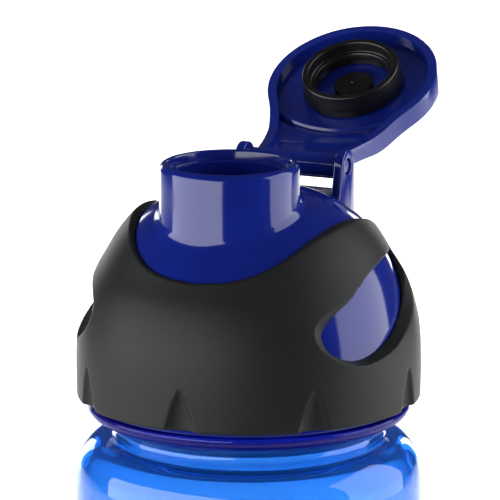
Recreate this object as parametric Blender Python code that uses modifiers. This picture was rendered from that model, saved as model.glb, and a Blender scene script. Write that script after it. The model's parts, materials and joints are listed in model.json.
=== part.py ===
"""Sports bottle with a screw cap, a wide spout, a flip lid and a rubber grip sleeve.

The bottle's axis is Z and its base stands on z = 0. The spout is on the -Y side and the
lid's hinge on the +Y side. Heights on the cap are measured from CAP_Z, the sleeve's lower edge.
Lengths are in metres; MM turns a size in millimetres into metres.
"""

import math

import bmesh
import bpy
from mathutils import Matrix, Vector

MM = 0.001

# Bottle
BODY_RADIUS = 37.0 * MM
BODY_WALL = 1.8 * MM
BASE_ROUNDING = 5.0 * MM
NECK_RADIUS = 28.6 * MM
NECK_WALL = 2.2 * MM
CAP_Z = 175.0 * MM
NECK_TOP = 13.0 * MM
FLANGE_TOP = -1.4 * MM
FLANGE_BOTTOM = -5.4 * MM
FLANGE_RADIUS = 34.4 * MM
SHOULDER_TOP = -8.4 * MM

# Screw thread shared by the neck and the cap
THREAD_LEAD = 5.0 * MM
THREAD_BEAD = 1.4 * MM
THREAD_TURNS = 1.5
NECK_THREAD_RADIUS = 29.2 * MM
NECK_THREAD_Z = 2.6 * MM
CAP_THREAD_RADIUS = 31.2 * MM
CAP_THREAD_Z = NECK_THREAD_Z - THREAD_LEAD / 2
CAP_THREAD_FIRST = 0.3

# Cap
CAP_WALL = 2.2 * MM
SKIRT_RADIUS = 34.2 * MM
SKIRT_BOTTOM = -1.0 * MM
SKIRT_BORE = 31.8 * MM
SEAT_RADIUS = 28.0 * MM
SEAT_BOTTOM = 15.2 * MM
SEAT_TOP = 16.8 * MM
DOME_TOP = 45.0 * MM
FIT_GAP = 0.3 * MM

# Spout
SPOUT_Y = -10.3 * MM
SPOUT_RADIUS = 14.8 * MM
SPOUT_TOP = 52.2 * MM
SPOUT_BORE = 11.6 * MM
SPOUT_LEAD_IN = 13.0 * MM
SPOUT_LEDGE = 2.1 * MM
SPOUT_ROUNDING = 1.5 * MM

# Hinge
HINGE_Y = 25.0 * MM
HINGE_Z = 45.5 * MM
EAR_CENTRE = 11.6 * MM
EAR_THICKNESS = 2.0 * MM
EAR_RADIUS = 3.6 * MM
BRIDGE_TOP = 40.0 * MM
EAR_FOOT = 32.0 * MM
BRACKET_LOW = 29.0 * MM
PIN_RADIUS = 1.5 * MM
PIN_INSET = 0.4 * MM

# Lid, measured from the hinge axis when shut
LID_OPENING = math.radians(152.0)
LID_REACH = HINGE_Y - SPOUT_Y
LID_RADIUS = 19.0 * MM
LID_FLOOR = 7.2 * MM
LID_PLATE = 2.0 * MM
LID_RIM_DEPTH = 2.5 * MM
LID_RIM_WIDTH = 2.0 * MM
KNUCKLE_RADIUS = 2.5 * MM
KNUCKLE_HALF = 10.2 * MM
RIDGE_HEIGHT = 1.0 * MM
RIDGE_WIDTH = 1.3 * MM
RIDGE_RADIUS = 24.0 * MM
RIDGE_NEAR = 16.4 * MM
RIDGE_SINK = 0.6 * MM

# Plug seal and its centre button
PLUG_RADIUS = 11.2 * MM
PLUG_LIP_RADIUS = 10.7 * MM
PLUG_HEIGHT = 5.0 * MM
PLUG_BORE = 8.2 * MM
BUTTON_RADIUS = 4.3 * MM
BUTTON_HEIGHT = 0.9 * MM

# Grip sleeve
SLEEVE_GAP = 0.3 * MM
SLEEVE_FOOT_RADIUS = 36.6 * MM
SLEEVE_STEPS = 56
TOP_CUT_STEPS = 48
TOP_CUT_NEAR = 8.0 * MM
TOP_CUT_FAR = 50.0 * MM
TOP_CUT_HIGH = 60.0 * MM
FLUTE_COUNT = 8
FLUTE_WIDTH = 10.8 * MM
FLUTE_HEIGHT = 10.4 * MM
FLUTE_DEPTH = 1.5 * MM
FLUTE_CLEAR = 0.6 * MM
FLUTE_EDGE_RADIUS = 36.8 * MM

TURN_STEPS = 40

BLUE = (0.005, 0.012, 0.155)
CLEAR_BLUE = (0.02, 0.17, 0.72)
BLACK = (0.009, 0.009, 0.010)
GREY_RUBBER = (0.032, 0.032, 0.034)


def clear_scene():
    """Remove every object that the scene starts with."""
    for thing in list(bpy.data.objects):
        bpy.data.objects.remove(thing, do_unlink=True)


def material(name, colour, roughness, alpha=1.0):
    """Return a Principled material."""
    made = bpy.data.materials.new(name)
    made.use_nodes = True
    shader = made.node_tree.nodes["Principled BSDF"]
    shader.inputs["Base Color"].default_value = (*colour, 1.0)
    shader.inputs["Roughness"].default_value = roughness
    shader.inputs["Metallic"].default_value = 0.0
    shader.inputs["Alpha"].default_value = alpha
    made.diffuse_color = (*colour, alpha)
    return made


def collection(name):
    """Return a new collection linked to the scene."""
    made = bpy.data.collections.new(name)
    bpy.context.scene.collection.children.link(made)
    return made


def mesh_object(name, group, bm, look=None):
    """Turn a bmesh into an object in a collection."""
    mesh = bpy.data.meshes.new(name)
    bm.to_mesh(mesh)
    bm.free()
    made = bpy.data.objects.new(name, mesh)
    group.objects.link(made)
    if look is not None:
        mesh.materials.append(look)
    return made


def as_cutter(thing):
    """Mark an object as a cutter: drawn as wires and never rendered."""
    thing.hide_render = True
    thing.display_type = "WIRE"
    return thing


def spline(points, steps):
    """Return a smooth run through the points (Catmull-Rom, with steps per span)."""
    ends = [2 * Vector(points[0]) - Vector(points[1])]
    ends += [Vector(point) for point in points]
    ends.append(2 * Vector(points[-1]) - Vector(points[-2]))
    run = []
    for i in range(1, len(ends) - 2):
        a, b, c, d = ends[i - 1:i + 3]
        for k in range(steps):
            t = k / steps
            run.append(0.5 * (2 * b + (c - a) * t + (2 * a - 5 * b + 4 * c - d) * t ** 2
                              + (3 * b - a - 3 * c + d) * t ** 3))
    run.append(ends[-2])
    return run


def closed_spline(points, steps):
    """Return a smooth closed run through the points."""
    count = len(points)
    run = []
    for i in range(count):
        a, b, c, d = (Vector(points[(i + k - 1) % count]) for k in range(4))
        for k in range(steps):
            t = k / steps
            run.append(0.5 * (2 * b + (c - a) * t + (2 * a - 5 * b + 4 * c - d) * t ** 2
                              + (3 * b - a - 3 * c + d) * t ** 3))
    return run


def arc(centre, radius, start, end, steps):
    """Return points on an arc in the profile plane, with angles in degrees."""
    run = []
    for i in range(steps + 1):
        angle = math.radians(start + (end - start) * i / steps)
        run.append(Vector((centre[0] + radius * math.cos(angle),
                           centre[1] + radius * math.sin(angle))))
    return run


def turned(name, group, profile, look=None, closed=False, steps=TURN_STEPS, place=(0, 0, 0)):
    """Turn a profile of (radius, height) points about Z with a Screw modifier.

    An open profile runs from the axis down the outer side and back to the axis. A closed one
    goes round the section of a ring, down its outer side.
    """
    bm = bmesh.new()
    verts = [bm.verts.new((point[0], 0.0, point[1])) for point in profile]
    for i in range(len(verts) - 1):
        bm.edges.new((verts[i], verts[i + 1]))
    if closed:
        bm.edges.new((verts[-1], verts[0]))
    made = mesh_object(name, group, bm, look)
    made.location = place
    screw = made.modifiers.new("Turn", "SCREW")
    screw.axis = "Z"
    screw.steps = steps
    screw.render_steps = steps
    screw.use_merge_vertices = True
    screw.merge_threshold = 0.00001
    screw.use_smooth_shade = True
    return made


def helix(name, group, radius, height, first):
    """Return a rounded helical bead as a closed mesh.

    The helix passes the +X side at the height given, and the bead starts a number of turns on.
    """
    per_turn = 36
    count = round(per_turn * THREAD_TURNS)
    curve = bpy.data.curves.new(name, "CURVE")
    curve.dimensions = "3D"
    curve.bevel_depth = THREAD_BEAD
    curve.bevel_resolution = 1
    curve.use_fill_caps = True
    run = curve.splines.new("POLY")
    run.points.add(count)
    for i, point in enumerate(run.points):
        turn = first + i / per_turn
        angle = 2 * math.pi * turn
        point.co = (radius * math.cos(angle), radius * math.sin(angle),
                    height + THREAD_LEAD * turn, 1.0)
    guide = bpy.data.objects.new(name, curve)
    guide.location = (0, 0, CAP_Z)
    group.objects.link(guide)
    bpy.context.view_layer.update()
    graph = bpy.context.evaluated_depsgraph_get()
    mesh = bpy.data.meshes.new_from_object(guide.evaluated_get(graph))
    bm = bmesh.new()
    bm.from_mesh(mesh)
    bmesh.ops.remove_doubles(bm, verts=bm.verts, dist=0.00001)
    bmesh.ops.recalc_face_normals(bm, faces=bm.faces)
    made = mesh_object(name, group, bm)
    made.matrix_world = guide.matrix_world
    bpy.data.objects.remove(guide, do_unlink=True)
    return as_cutter(made)


def prism(name, group, outline, axis, low, high, look=None):
    """Extrude a flat outline along X ((y, z) points) or along Z ((x, y) points)."""
    bm = bmesh.new()
    if axis == "X":
        verts = [bm.verts.new((low, point[0], point[1])) for point in outline]
        shift = Vector((high - low, 0, 0))
    else:
        verts = [bm.verts.new((point[0], point[1], low)) for point in outline]
        shift = Vector((0, 0, high - low))
    face = bm.faces.new(verts)
    grown = bmesh.ops.extrude_face_region(bm, geom=[face])
    moved = [item for item in grown["geom"] if isinstance(item, bmesh.types.BMVert)]
    bmesh.ops.translate(bm, verts=moved, vec=shift)
    bmesh.ops.recalc_face_normals(bm, faces=bm.faces)
    return mesh_object(name, group, bm, look)


def rod(name, group, radius, half_length, centre, segments=24):
    """Return a cylinder along X."""
    bm = bmesh.new()
    bmesh.ops.create_cone(bm, cap_ends=True, segments=segments, radius1=radius, radius2=radius,
                          depth=2 * half_length, matrix=Matrix.Rotation(math.pi / 2, 4, "Y"))
    made = mesh_object(name, group, bm)
    made.location = centre
    return made


def boolean(target, tool, operation):
    """Add an exact Boolean modifier."""
    step = target.modifiers.new(operation.title(), "BOOLEAN")
    step.operation = operation
    step.solver = "EXACT"
    step.object = tool


def bottle_profile():
    """Return the section of the bottle's wall, down its outer side and up its inner side."""
    rim = arc((NECK_RADIUS - 0.6 * MM, NECK_TOP - 0.6 * MM), 0.6 * MM, 90, 0, 2)
    flange = [Vector((NECK_RADIUS, FLANGE_TOP)), Vector((FLANGE_RADIUS - 0.6 * MM, FLANGE_TOP))]
    flange += spline([(FLANGE_RADIUS, FLANGE_TOP - 0.6 * MM),
                      (FLANGE_RADIUS - 0.7 * MM, FLANGE_TOP - 2.0 * MM),
                      (FLANGE_RADIUS - 3.0 * MM, FLANGE_BOTTOM + 0.6 * MM)], 2)
    flange += [Vector((NECK_RADIUS + 0.6 * MM, FLANGE_BOTTOM))]
    shoulder = spline([(NECK_RADIUS, SHOULDER_TOP + 1.0 * MM),
                       (NECK_RADIUS + 1.4 * MM, SHOULDER_TOP),
                       (BODY_RADIUS - 3.4 * MM, SHOULDER_TOP - 1.3 * MM),
                       (BODY_RADIUS - 0.9 * MM, SHOULDER_TOP - 4.3 * MM),
                       (BODY_RADIUS, SHOULDER_TOP - 10.0 * MM)], 2)
    outer = [Vector((p[0], p[1] + CAP_Z)) for p in rim + flange + shoulder]
    foot = (BODY_RADIUS - BASE_ROUNDING, BASE_ROUNDING)
    outer += arc(foot, BASE_ROUNDING, 0, -90, 5)
    outer.append(Vector((0.0, 0.0)))
    bore = NECK_RADIUS - NECK_WALL
    inner = [Vector((0.0, BODY_WALL))]
    inner += arc(foot, BASE_ROUNDING - BODY_WALL, -90, 0, 4)
    inside = spline([(BODY_RADIUS - BODY_WALL, SHOULDER_TOP - 10.5 * MM),
                     (BODY_RADIUS - BODY_WALL - 1.2 * MM, SHOULDER_TOP - 5.4 * MM),
                     (BODY_RADIUS - BODY_WALL - 3.8 * MM, SHOULDER_TOP - 3.0 * MM),
                     (bore + 0.8 * MM, SHOULDER_TOP - 1.8 * MM),
                     (bore, SHOULDER_TOP)], 2)
    inner += [Vector((p[0], p[1] + CAP_Z)) for p in inside]
    inner.append(Vector((bore, CAP_Z + NECK_TOP)))
    return outer, inner


def make_bottle(group, cutters, look):
    """Build the bottle's body with its flange and neck thread."""
    outer, inner = bottle_profile()
    axis_top = Vector((0.0, outer[0][1]))
    body = turned("bottle_body", group, [axis_top] + outer, look)
    hollow = [Vector((0.0, inner[-1][1] + 1.0 * MM)), Vector((inner[-1][0], inner[-1][1] + 1.0 * MM))]
    hollow += list(reversed(inner))
    cavity = as_cutter(turned("bottle_cavity", cutters, hollow))
    boolean(body, cavity, "DIFFERENCE")
    thread = helix("neck_thread", cutters, NECK_THREAD_RADIUS, NECK_THREAD_Z, 0.0)
    boolean(body, thread, "UNION")
    return body


def dome_points():
    """Return the dome's outer section from its top down to the skirt."""
    return spline([(0.0, DOME_TOP), (10.0 * MM, DOME_TOP - 0.7 * MM), (18.0 * MM, DOME_TOP - 3.2 * MM),
                   (24.4 * MM, DOME_TOP - 7.6 * MM), (28.4 * MM, DOME_TOP - 12.8 * MM),
                   (31.0 * MM, DOME_TOP - 18.0 * MM), (32.8 * MM, DOME_TOP - 24.8 * MM),
                   (SKIRT_RADIUS, DOME_TOP - 33.0 * MM)], 2)


def inset(run, distance):
    """Move each point of a section inwards, square to the run."""
    moved = []
    for i, point in enumerate(run):
        before = run[max(i - 1, 0)]
        after = run[min(i + 1, len(run) - 1)]
        along = (after - before).normalized()
        moved.append(Vector((max(point[0] + along[1] * distance, 0.0), point[1] - along[0] * distance)))
    moved[0] = Vector((0.0, moved[0][1]))
    return moved


def ear_outline():
    """Return an ear's outline as (y, z), from its back foot round the pin to its front foot."""
    top = arc((HINGE_Y, HINGE_Z), EAR_RADIUS, 0, 160, 10)
    back_foot = [Vector((HINGE_Y + 1.0 * MM, BRACKET_LOW)), Vector((HINGE_Y + EAR_RADIUS, EAR_FOOT))]
    front = [Vector((HINGE_Y - 5.9 * MM, HINGE_Z - 8.0 * MM)), Vector((HINGE_Y - 8.0 * MM, 31.0 * MM))]
    return back_foot + top + front


def make_cap(group, cutters, look):
    """Build the domed cap with its spout, hinge bracket and inner thread."""
    dome = dome_points()
    solid = dome + [Vector((SKIRT_RADIUS, SKIRT_BOTTOM)), Vector((0.0, SKIRT_BOTTOM))]
    cap = turned("cap_shell", group, solid, look, place=(0, 0, CAP_Z))

    rim = arc((SPOUT_RADIUS - SPOUT_ROUNDING, SPOUT_TOP - SPOUT_ROUNDING), SPOUT_ROUNDING, 90, 0, 4)
    tube = [Vector((0.0, SPOUT_TOP))] + rim + [Vector((SPOUT_RADIUS, 33.0 * MM)), Vector((0.0, 33.0 * MM))]
    spout = as_cutter(turned("spout_tube", cutters, tube, place=(0, SPOUT_Y, CAP_Z)))
    boolean(cap, spout, "UNION")

    for side in (-1, 1):
        low = side * EAR_CENTRE - EAR_THICKNESS / 2
        ear = prism(f"ear_{side}", cutters, ear_outline(), "X", low, low + EAR_THICKNESS)
        ear.location = (0, 0, CAP_Z)
        boolean(cap, as_cutter(ear), "UNION")
    bridge_front = HINGE_Y - 7.0 * MM
    bridge_back = HINGE_Y + EAR_RADIUS - 0.4 * MM
    bridge = [(bridge_back, BRACKET_LOW), (bridge_back, BRIDGE_TOP), (bridge_front, BRIDGE_TOP),
              (bridge_front, BRACKET_LOW)]
    block = prism("bridge", cutters, bridge, "X", -EAR_CENTRE, EAR_CENTRE)
    block.location = (0, 0, CAP_Z)
    boolean(cap, as_cutter(block), "UNION")

    ceiling = inset(dome, CAP_WALL)
    upper = [point for point in ceiling if point[1] > SEAT_TOP + 1.0 * MM]
    cavity = upper + [Vector((upper[-1][0] + 0.2 * MM, SEAT_TOP)), Vector((SEAT_RADIUS, SEAT_TOP)),
                      Vector((SEAT_RADIUS, SEAT_BOTTOM)), Vector((SKIRT_BORE, SEAT_BOTTOM)),
                      Vector((SKIRT_BORE, -5.0 * MM)), Vector((0.0, -5.0 * MM))]
    hollow = as_cutter(turned("cap_cavity", cutters, cavity, place=(0, 0, CAP_Z)))
    boolean(cap, hollow, "DIFFERENCE")

    ledge = SPOUT_TOP - SPOUT_LEDGE
    bore = [(0.0, SPOUT_TOP + 2.0 * MM), (SPOUT_LEAD_IN + 0.4 * MM, SPOUT_TOP + 2.0 * MM),
            (SPOUT_LEAD_IN, ledge), (SPOUT_BORE, ledge), (SPOUT_BORE, 25.0 * MM), (0.0, 25.0 * MM)]
    mouth = as_cutter(turned("spout_bore", cutters, bore, place=(0, SPOUT_Y, CAP_Z)))
    boolean(cap, mouth, "DIFFERENCE")

    eye = rod("ear_eye", cutters, PIN_RADIUS + FIT_GAP, EAR_CENTRE + 4.0 * MM,
              (0, HINGE_Y, CAP_Z + HINGE_Z))
    boolean(cap, as_cutter(eye), "DIFFERENCE")
    thread = helix("cap_thread", cutters, CAP_THREAD_RADIUS, CAP_THREAD_Z, CAP_THREAD_FIRST)
    boolean(cap, thread, "UNION")
    return cap


def make_gasket(group, look):
    """Build the flat sealing ring between the neck's rim and the cap's seat."""
    low = NECK_TOP + FIT_GAP
    high = SEAT_BOTTOM - FIT_GAP
    wide = SKIRT_BORE - FIT_GAP
    narrow = NECK_RADIUS - NECK_WALL + 0.4 * MM
    section = [(wide, high), (wide, low), (narrow, low), (narrow, high)]
    return turned("cap_gasket", group, section, look, closed=True, place=(0, 0, CAP_Z))


def sleeve_points():
    """Return the sleeve's outer section from its top down to its lower edge."""
    return spline([(20.3 * MM, 42.2 * MM), (24.3 * MM, 39.4 * MM), (27.8 * MM, 35.2 * MM),
                   (30.9 * MM, 30.0 * MM), (33.5 * MM, 25.6 * MM), (35.3 * MM, 20.6 * MM),
                   (36.4 * MM, 15.0 * MM), (36.7 * MM, 8.0 * MM), (SLEEVE_FOOT_RADIUS, 0.0)], 2)


def sleeve_section():
    """Return the sleeve's closed section, down its outer side and up the dome."""
    dome = dome_points() + [Vector((SKIRT_RADIUS, 0.0))]
    clear = [point for point in inset(dome, -SLEEVE_GAP)[1:] if point[0] > 16.0 * MM]
    clear[-1] = Vector((SKIRT_RADIUS + SLEEVE_GAP, 0.0))
    return sleeve_points() + list(reversed(clear))


def edge_height(angle):
    """Return the height of the sleeve's upper edge at an angle in degrees from the front."""
    stations = [(0, 30.4), (12, 30.8), (24, 32.1), (36, 34.4), (48, 36.9), (60, 38.5), (76, 39.5),
                (92, 39.5), (104, 38.8), (114, 37.4), (128, 34.2), (144, 30.4), (160, 28.2), (180, 27.6)]
    run = spline(stations, 3)
    for before, after in zip(run, run[1:]):
        if angle <= after[0]:
            share = (angle - before[0]) / (after[0] - before[0])
            return (before[1] + (after[1] - before[1]) * share) * MM
    return run[-1][1] * MM


def radial_cutter(name, group, outlines):
    """Loft a closed cutter through outlines of (radius, [(angle, height), ...]) about Z."""
    bm = bmesh.new()
    rings = []
    for radius, outline in outlines:
        ring = []
        for angle, height in outline:
            turn = math.radians(angle)
            ring.append(bm.verts.new((radius * math.sin(turn), -radius * math.cos(turn), height)))
        rings.append(ring)
    count = len(rings[0])
    for inner, outer in zip(rings, rings[1:]):
        for i in range(count):
            k = (i + 1) % count
            bm.faces.new((inner[i], inner[k], outer[k], outer[i]))
    for ring in (rings[0], rings[-1]):
        middle = bm.verts.new(sum((vert.co for vert in ring), Vector()) / count)
        for i in range(count):
            bm.faces.new((ring[i], ring[(i + 1) % count], middle))
    bmesh.ops.recalc_face_normals(bm, faces=bm.faces)
    made = mesh_object(name, group, bm)
    made.location = (0, 0, CAP_Z)
    return as_cutter(made)


def window_outline(side, grow):
    """Return a side window's leaf outline; grow is 0 at its inner edge and 1 at its outer one."""
    inner = [(50.3, 19.0), (55.5, 15.0), (64.0, 13.8), (76.0, 15.0), (88.0, 17.8), (101.0, 21.4),
             (114.0, 26.4), (120.0, 31.0), (106.0, 31.8), (90.0, 31.4), (74.0, 29.4), (60.0, 25.2),
             (52.5, 22.0)]
    outer = [(44.6, 22.0), (49.0, 17.0), (62.0, 13.0), (77.0, 14.0), (90.0, 17.0), (103.0, 20.2),
             (116.0, 24.5), (124.0, 31.6), (108.0, 35.4), (90.0, 35.8), (72.0, 33.6), (57.0, 30.0),
             (48.0, 26.2)]
    points = []
    for (angle_a, low), (angle_b, high) in zip(inner, outer):
        points.append((angle_a + (angle_b - angle_a) * grow, (low + (high - low) * grow) * MM))
    return [(side * angle, height) for angle, height in closed_spline(points, 2)]


def top_cutter(group):
    """Return the tool that scoops the sleeve's upper edge."""
    bm = bmesh.new()
    columns = []
    for i in range(TOP_CUT_STEPS):
        angle = 180 - 360 * i / TOP_CUT_STEPS
        turn = math.radians(angle)
        low = edge_height(abs(angle))
        column = []
        for radius, height in ((TOP_CUT_NEAR, low), (TOP_CUT_FAR, low), (TOP_CUT_FAR, TOP_CUT_HIGH),
                               (TOP_CUT_NEAR, TOP_CUT_HIGH)):
            column.append(bm.verts.new((radius * math.sin(turn), -radius * math.cos(turn), height)))
        columns.append(column)
    for i, column in enumerate(columns):
        after = columns[(i + 1) % len(columns)]
        for k in range(4):
            n = (k + 1) % 4
            bm.faces.new((column[k], column[n], after[n], after[k]))
    bmesh.ops.recalc_face_normals(bm, faces=bm.faces)
    made = mesh_object("sleeve_top_cut", group, bm)
    made.location = (0, 0, CAP_Z)
    return as_cutter(made)


def flute_cutter(index, group):
    """Return the tool for one flute: a wedge whose root leans out to a point."""
    bm = bmesh.new()
    edge = FLUTE_EDGE_RADIUS
    left = bm.verts.new((-FLUTE_WIDTH / 2, -edge, -FLUTE_CLEAR))
    right = bm.verts.new((FLUTE_WIDTH / 2, -edge, -FLUTE_CLEAR))
    root = bm.verts.new((0, -edge + FLUTE_DEPTH, -FLUTE_CLEAR))
    apex = bm.verts.new((0, -edge, FLUTE_HEIGHT))
    front = bm.verts.new((0, -edge - FLUTE_WIDTH / 2, -FLUTE_CLEAR))
    for trio in ((left, root, apex), (root, right, apex), (right, front, apex),
                 (front, left, apex), (left, front, right), (left, right, root)):
        bm.faces.new(trio)
    bmesh.ops.recalc_face_normals(bm, faces=bm.faces)
    made = mesh_object(f"flute_{index}", group, bm)
    made.location = (0, 0, CAP_Z)
    made.rotation_euler = (0, 0, 2 * math.pi * index / FLUTE_COUNT)
    return as_cutter(made)


def window_cutter(side, group):
    """Return the tool for a side window, whose wall slopes outwards."""
    outlines = [(28.0 * MM, window_outline(side, 0.0)), (33.0 * MM, window_outline(side, 0.05)),
                (36.0 * MM, window_outline(side, 1.0)), (42.0 * MM, window_outline(side, 1.3))]
    return radial_cutter(f"window_{side}", group, outlines)


def make_sleeve(group, cutters, look):
    """Build the rubber sleeve with its front opening, side windows and flutes."""
    sleeve = turned("grip_sleeve", group, sleeve_section(), look, closed=True, steps=SLEEVE_STEPS,
                    place=(0, 0, CAP_Z))
    boolean(sleeve, top_cutter(cutters), "DIFFERENCE")
    for side in (-1, 1):
        boolean(sleeve, window_cutter(side, cutters), "DIFFERENCE")
    for i in range(FLUTE_COUNT):
        boolean(sleeve, flute_cutter(i, cutters), "DIFFERENCE")
    return sleeve


def lid_plan(margin):
    """Return the lid's keyhole outline as (x, y) when shut, moved inwards by a margin."""
    radius = LID_RADIUS - margin
    disc = arc((0.0, -LID_REACH), radius, 40, -220, 36)
    left = spline([disc[-1], (-12.6 * MM + margin, -17.5 * MM), (-10.9 * MM + margin, -10.5 * MM),
                   (-9.8 * MM + margin, -4.0 * MM), (-9.8 * MM + margin, 2.0 * MM)], 3)
    right = [Vector((-point[0], point[1])) for point in reversed(left)]
    return disc[:-1] + left + right[:-1]


def lid_side(under):
    """Return the lid's side section as (y, z) about the hinge axis, over an underside run."""
    top = spline([(KNUCKLE_RADIUS * 0.2, KNUCKLE_RADIUS), (-4.0 * MM, 2.9 * MM), (-10.0 * MM, 6.4 * MM),
                  (-16.5 * MM, LID_FLOOR + LID_PLATE), (-24.0 * MM, LID_FLOOR + LID_PLATE)], 3)
    end = [Vector((-60.0 * MM, LID_FLOOR + LID_PLATE))]
    return top + end + [Vector(point) for point in under]


def lid_place(thing):
    """Put a piece that was built shut on the hinge, in the lid's open rest position."""
    thing.location = (0, HINGE_Y, CAP_Z + HINGE_Z)
    thing.rotation_euler = (-LID_OPENING, 0, 0)
    return thing


def make_ridge(cutters):
    """Return the low ridge that curves across the lid between its disc and its arm."""
    outer = RIDGE_RADIUS
    low = LID_FLOOR - RIDGE_HEIGHT
    section = [(outer, LID_FLOOR + 0.6 * MM), (outer, low), (outer - RIDGE_WIDTH, low),
               (outer - RIDGE_WIDTH, LID_FLOOR + 0.6 * MM)]
    ridge = turned("lid_ridge", cutters, section, closed=True)
    hinge = Matrix.Translation((0, HINGE_Y, CAP_Z + HINGE_Z))
    swing = Matrix.Rotation(-LID_OPENING, 4, "X")
    ridge.matrix_world = hinge @ swing @ Matrix.Translation((0, RIDGE_NEAR - LID_REACH - RIDGE_RADIUS, 0))
    plan = lid_place(prism("ridge_plan", cutters, lid_plan(RIDGE_SINK), "Z", -10.0 * MM, 20.0 * MM))
    boolean(ridge, as_cutter(plan), "INTERSECT")
    return as_cutter(ridge)


def make_lid(group, cutters, look):
    """Build the keyhole lid with its rim, cranked arm and knuckle."""
    rim_low = LID_FLOOR - LID_RIM_DEPTH
    under = [(-60.0 * MM, rim_low), (-18.0 * MM, rim_low), (-12.0 * MM, 3.2 * MM), (-7.0 * MM, 0.2 * MM),
             (-3.0 * MM, -1.6 * MM), (KNUCKLE_RADIUS * 0.2, -KNUCKLE_RADIUS)]
    lid = prism("flip_lid", group, lid_side(under), "X", -30.0 * MM, 30.0 * MM, look)
    lid_place(lid)
    plan = lid_place(prism("lid_plan", cutters, lid_plan(0.0), "Z", -10.0 * MM, 20.0 * MM))
    boolean(lid, as_cutter(plan), "INTERSECT")

    pocket_top = spline([(-5.2 * MM, 0.4 * MM), (-11.0 * MM, 4.2 * MM), (-16.5 * MM, LID_FLOOR),
                         (-24.0 * MM, LID_FLOOR)], 3)
    pocket_side = pocket_top + [Vector((-60.0 * MM, LID_FLOOR)), Vector((-60.0 * MM, -12.0 * MM)),
                                Vector((-5.2 * MM, -12.0 * MM))]
    pocket = lid_place(prism("lid_pocket", cutters, pocket_side, "X", -30.0 * MM, 30.0 * MM))
    inner = lid_place(prism("lid_inner_plan", cutters, lid_plan(LID_RIM_WIDTH), "Z", -14.0 * MM, 24.0 * MM))
    boolean(pocket, as_cutter(inner), "INTERSECT")
    boolean(lid, as_cutter(pocket), "DIFFERENCE")

    boolean(lid, make_ridge(cutters), "UNION")

    knuckle = rod("lid_knuckle", cutters, KNUCKLE_RADIUS, KNUCKLE_HALF, (0, HINGE_Y, CAP_Z + HINGE_Z))
    boolean(lid, as_cutter(knuckle), "UNION")
    eye = rod("lid_eye", cutters, PIN_RADIUS + FIT_GAP, 30.0 * MM, (0, HINGE_Y, CAP_Z + HINGE_Z))
    boolean(lid, as_cutter(eye), "DIFFERENCE")
    return lid


def lid_turned(name, group, section, look, closed):
    """Turn a section about the lid's disc axis and place it with the open lid."""
    made = turned(name, group, section, look, closed=closed)
    hinge = Matrix.Translation((0, HINGE_Y, CAP_Z + HINGE_Z))
    swing = Matrix.Rotation(-LID_OPENING, 4, "X")
    made.matrix_world = hinge @ swing @ Matrix.Translation((0, -LID_REACH, 0))
    return made


def make_plug(group, look):
    """Build the soft plug ring that closes the spout."""
    top = LID_FLOOR - FIT_GAP
    lip = top - PLUG_HEIGHT
    section = [(PLUG_RADIUS, top), (PLUG_RADIUS, top - 1.6 * MM), (PLUG_LIP_RADIUS, lip + 0.4 * MM),
               (PLUG_LIP_RADIUS - 0.4 * MM, lip), (PLUG_LIP_RADIUS - 1.6 * MM, lip),
               (PLUG_LIP_RADIUS - 2.0 * MM, lip + 0.6 * MM), (PLUG_BORE, top - 1.2 * MM),
               (PLUG_BORE, top)]
    return lid_turned("plug_seal", group, section, look, True)


def make_button(group, look):
    """Build the round centre spot of the plug."""
    top = LID_FLOOR - FIT_GAP
    low = top - BUTTON_HEIGHT
    section = [(0.0, top), (BUTTON_RADIUS, top), (BUTTON_RADIUS, low + 0.3 * MM),
               (BUTTON_RADIUS - 0.3 * MM, low), (0.6 * MM, low), (0.5 * MM, low - 0.6 * MM),
               (0.0, low - 0.7 * MM)]
    return lid_turned("plug_button", group, section, look, False)


def make_pin(group, look):
    """Build the hinge pin, a little shorter than the ears are wide apart."""
    half = EAR_CENTRE + EAR_THICKNESS / 2 - PIN_INSET
    pin = rod("hinge_pin", group, PIN_RADIUS, half, (0, HINGE_Y, CAP_Z + HINGE_Z), 20)
    pin.data.materials.append(look)
    return pin


def shade_round(group):
    """Shade the round pieces smooth, with sharp edges kept."""
    for thing in group.objects:
        thing.data.shade_smooth()
        thing.data.set_sharp_from_angle(angle=math.radians(35))


def main():
    """Build every piece of the bottle."""
    clear_scene()
    pieces = collection("sports_bottle")
    cutters = collection("cutters")
    blue = material("gloss_blue_polypropylene", BLUE, 0.2)
    clear = material("clear_blue_copolyester", CLEAR_BLUE, 0.05, 0.5)
    black = material("black_plug_elastomer", BLACK, 0.35)
    rubber = material("matt_grip_rubber", GREY_RUBBER, 0.7)
    silicone = material("gasket_silicone", GREY_RUBBER, 0.5)
    pin_blue = material("hinge_pin_polymer", BLUE, 0.3)
    make_bottle(pieces, cutters, clear)
    make_cap(pieces, cutters, blue)
    make_gasket(pieces, silicone)
    make_sleeve(pieces, cutters, rubber)
    make_lid(pieces, cutters, blue)
    make_plug(pieces, black)
    make_button(pieces, black)
    make_pin(pieces, pin_blue)
    shade_round(pieces)


main()
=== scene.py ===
"""Studio scene of a clear blue sports bottle with a flip-lid screw cap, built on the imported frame.

Heights on the cap are counted from the lower edge of the grip sleeve, and the lid is modelled shut
about its hinge axis before it is swung open. Sizes in the dataclasses are in millimetres.
"""

import json
import logging
import math
from dataclasses import dataclass, field
from enum import Enum
from typing import Callable, Iterable, Optional, Sequence

import bmesh
import bpy
from mathutils import Matrix, Vector


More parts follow.
